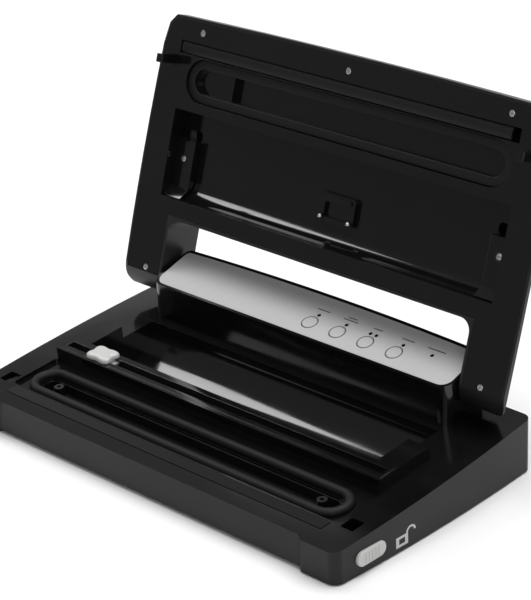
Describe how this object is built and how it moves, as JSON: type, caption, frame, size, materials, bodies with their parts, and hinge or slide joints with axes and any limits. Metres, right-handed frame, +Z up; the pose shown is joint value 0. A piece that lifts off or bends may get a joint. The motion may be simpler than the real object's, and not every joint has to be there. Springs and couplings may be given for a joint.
{
  "type": "vacuum sealer",
  "caption": "Countertop vacuum sealer with a hinged lid, bag roll well, sliding cutter, gasketed vacuum channel, heat seal bar and raised control panel.",
  "frame": {"origin": "on the table under the middle of the machine with its lid open: the centre of the whole outline, at the underside of the feet", "axes": "+X to the machine's right seen from the front, +Y towards the back, +Z up; the lid stands open at rest"},
  "size_m": [0.4004, 0.2602, 0.2768],
  "materials": {
    "body_black": "fine matt texture",
    "lid_black": "satin",
    "liner_black": "satin",
    "gasket_black": "matt",
    "strip_black": "matt",
    "foot_rubber": "matt",
    "silver_panel": "brushed satin",
    "button_silver": "satin",
    "button_pale": "satin",
    "knob_grey": "satin",
    "steel": "brushed",
    "screw_steel": "bright",
    "brass": "plain",
    "tape": "coated cloth",
    "clear_plastic": "clear",
    "tray_black": "satin",
    "pump_white": "matt",
    "board_green": "satin",
    "core_iron": "lacquered",
    "hose_clear": "translucent"
  },
  "bodies": {
    "base": {"base_housing": "body_black", "bottom_cover": "body_black", "feet": "foot_rubber", "cover_screws": "steel", "lower_gasket": "gasket_black", "drip_tray": "tray_black", "suction_nozzle": "tray_black", "sensing_nozzle": "tray_black", "seal_bar": "tray_black", "heating_element": "steel", "element_clips": "brass", "release_tape": "tape", "panel_plate": "silver_panel", "light_pipes": "clear_plastic", "control_board": "board_green", "tact_switches": "tray_black", "cutter_rail": "body_black", "pump_motor": "steel", "pump_head": "pump_white", "transformer": "core_iron", "solenoid_valve": "pump_white", "suction_hose": "hose_clear", "pump_hose": "hose_clear", "mains_inlet": "body_black", "lid_switch": "body_black", "hinge_pins": "steel"},
    "lid": {"lid_shell": "lid_black", "lid_liner": "liner_black", "pressure_strip": "strip_black", "upper_gasket": "gasket_black", "latch_hook_left": "liner_black", "latch_hook_right": "liner_black", "roll_press_left": "liner_black", "roll_press_right": "liner_black", "press_screws": "screw_steel", "lid_screws": "screw_steel", "centre_boss": "liner_black"},
    "cutter": {"cutter_knob": "knob_grey", "cutter_blade": "steel"},
    "release_right": {"release_button_right": "button_pale"},
    "release_left": {"release_button_left": "button_pale"},
    "catch_right_body": {"catch_right": "body_black"},
    "catch_left_body": {"catch_left": "body_black"},
    "key_1": {"panel_button_1": "button_silver"},
    "key_2": {"panel_button_2": "button_silver"},
    "key_3": {"panel_button_3": "button_silver"},
    "key_4": {"panel_button_4": "button_silver"}
  },
  "joints": [
    {"name": "lid_hinge", "type": "hinge", "parent": "base", "child": "lid", "pos_m": [0, 0.07586, 0.0691], "axis": [1, 0, 0], "range_deg": [0, 112.6]},
    {"name": "cutter_slide", "type": "slide", "parent": "base", "child": "cutter", "axis": [1, 0, 0], "range_m": [-0.025, 0.281]},
    {"name": "release_right_press", "type": "slide", "parent": "base", "child": "release_right", "axis": [-1, 0, 0], "range_m": [0, 0.003], "stiffness_N_per_m": 600, "springref_m": -0.002},
    {"name": "catch_right_slide", "type": "slide", "parent": "base", "child": "catch_right_body", "axis": [-1, 0, 0], "range_m": [0, 0.003]},
    {"name": "release_left_press", "type": "slide", "parent": "base", "child": "release_left", "axis": [1, 0, 0], "range_m": [0, 0.003], "stiffness_N_per_m": 600, "springref_m": -0.002},
    {"name": "catch_left_slide", "type": "slide", "parent": "base", "child": "catch_left_body", "axis": [1, 0, 0], "range_m": [0, 0.003]},
    {"name": "key_1_press", "type": "slide", "parent": "base", "child": "key_1", "axis": [0, 0.2924, -0.9563], "range_m": [0, 0.0005], "stiffness_N_per_m": 1200, "springref_m": -0.0005},
    {"name": "key_2_press", "type": "slide", "parent": "base", "child": "key_2", "axis": [0, 0.2924, -0.9563], "range_m": [0, 0.0005], "stiffness_N_per_m": 1200, "springref_m": -0.0005},
    {"name": "key_3_press", "type": "slide", "parent": "base", "child": "key_3", "axis": [0, 0.2924, -0.9563], "range_m": [0, 0.0005], "stiffness_N_per_m": 1200, "springref_m": -0.0005},
    {"name": "key_4_press", "type": "slide", "parent": "base", "child": "key_4", "axis": [0, 0.2924, -0.9563], "range_m": [0, 0.0005], "stiffness_N_per_m": 1200, "springref_m": -0.0005}
  ],
  "couplings": [
    {"joint": "catch_right_slide", "follows": "release_right_press", "ratio": 1},
    {"joint": "catch_left_slide", "follows": "release_left_press", "ratio": 1}
  ]
}
